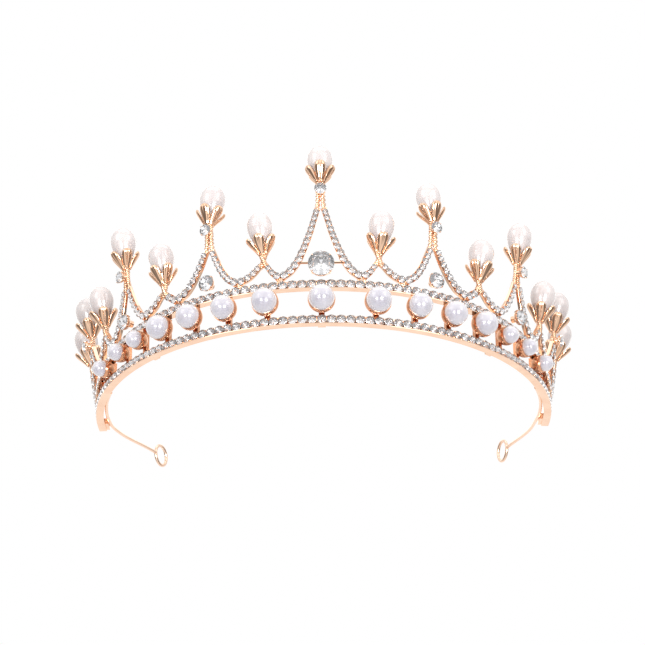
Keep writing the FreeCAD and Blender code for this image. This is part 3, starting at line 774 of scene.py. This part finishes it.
def arm_strip(stones, word):
    """Channel behind a row of stones: (across in stone sizes, outwards in mm) sections."""
    stones = sorted(stones, key=lambda seat: -seat[0].z)
    culets = [seat[0] for seat in stones]
    step = culets[-1] - culets[-2]
    foot = culets[-1] + step * 0.62
    level = math.hypot(step.x, step.y) / step.length
    foot.z = min(foot.z, foot_height(word, foot) + ARM_HALF * stones[-1][2] * level - SOLDER)
    culets = [culets[0] * 1.8 - culets[1] * 0.8] + culets + [foot]
    axes = [stones[0][1]] + [seat[1] for seat in stones] + [stones[-1][1]]
    sizes = [stones[0][2]] + [seat[2] for seat in stones] + [stones[-1][2]]
    steps = 4
    path = smooth_path(culets, steps)
    verts, faces = [], []
    count = len(SECTION)
    for i, point in enumerate(path):
        j, t = divmod(i, steps)
        j = min(j, len(axes) - 2)
        t = (i - j * steps) / steps
        axis = (axes[j] * (1 - t) + axes[j + 1] * t).normalized()
        size = sizes[j] * (1 - t) + sizes[j + 1] * t
        ahead = (path[min(i + 1, len(path) - 1)] - path[max(i - 1, 0)]).normalized()
        across = ahead.cross(axis).normalized()
        for a, o in SECTION:
            verts.append(point + across * a * (size + 0.1 * MM) + axis * o * MM)
    for i in range(len(path) - 1):
        for k in range(count):
            m = (k + 1) % count
            faces.append([i * count + k, i * count + m, (i + 1) * count + m, (i + 1) * count + k])
    faces.append(list(range(count))[::-1])
    faces.append([(len(path) - 1) * count + k for k in range(count)])
    return verts, faces, path[0], axes[0]


STRAND_APART = 0.70 * MM
STRAND_REACH = 0.43 * MM
STRAND_PLY = 0.47 * MM
STRAND_PITCH = 1.30 * MM
TALL_STEM = 5 * MM


def twist(build, points, reach, ply, pitch):
    """Two-ply twisted wire along points."""
    line = smooth_path(points, 12)
    lengths = [0.0]
    for a, b in zip(line, line[1:]):
        lengths.append(lengths[-1] + (b - a).length)
    for phase in (0.0, math.pi):
        coil = []
        across = None
        for i, point in enumerate(line):
            ahead = (line[min(i + 1, len(line) - 1)] - line[max(i - 1, 0)]).normalized()
            if across is None:
                across = ahead.orthogonal().normalized()
            across = (across - ahead * across.dot(ahead)).normalized()
            a = phase + 2 * math.pi * lengths[i] / pitch
            coil.append(point + (across * math.cos(a) + ahead.cross(across) * math.sin(a)) * reach)
        v, f = tube(coil, ply, 7)
        build.add(v, f)


for word in WORDS:
    foot, lean = CLAWS[word]
    build = Builder()
    across = UP.cross(facing(foot))
    tops = {}
    for side in (-1, 1):
        v, f, top, axis = arm_strip(arms[(word, side)], word)
        build.add(v, f)
        tops[side] = top - axis * 0.35 * MM
    made = build.piece("peak_arms_" + word, [GOLD], ("peak_" + word,), angle=35)
    rise = (foot - 0.5 * (tops[-1] + tops[1])).length
    strands = Builder()
    end = foot + lean * 0.5 * MM
    tall = rise > TALL_STEM
    for side in (-1, 1):
        keep = side if tall else -side
        start = tops[side] - UP * 0.9 * MM + across * side * 0.1 * MM
        depth = facing(foot) * (0 if tall else 0.25 * MM * side)
        waist = 0.45 * start + 0.55 * end + depth
        shift = keep * STRAND_APART - (waist - end).dot(across)
        waist += across * shift * (1 if tall else 0.3)
        twist(strands, [start, waist, end + across * keep * STRAND_APART],
              STRAND_REACH, STRAND_PLY, STRAND_PITCH)
    made = strands.piece("stem_wires_" + word, [GOLD_CLAW])

# ---------------------------------------------------------------- kept CAD pieces
# The pearl cups take the darker copy of the rose gold, with painted shade.
for name, finish in (("lower_rail", GOLD), ("upper_rail", GOLD), ("pearl_cups", GOLD_CUP_PAINTED_SHADE),
                     ("wire_arm_left", GOLD_WIRE), ("wire_arm_right", GOLD_WIRE),
                     ("solder_lugs", GOLD)):
    kept = NODES[name]
    kept.data.materials.clear()
    kept.data.materials.append(finish)
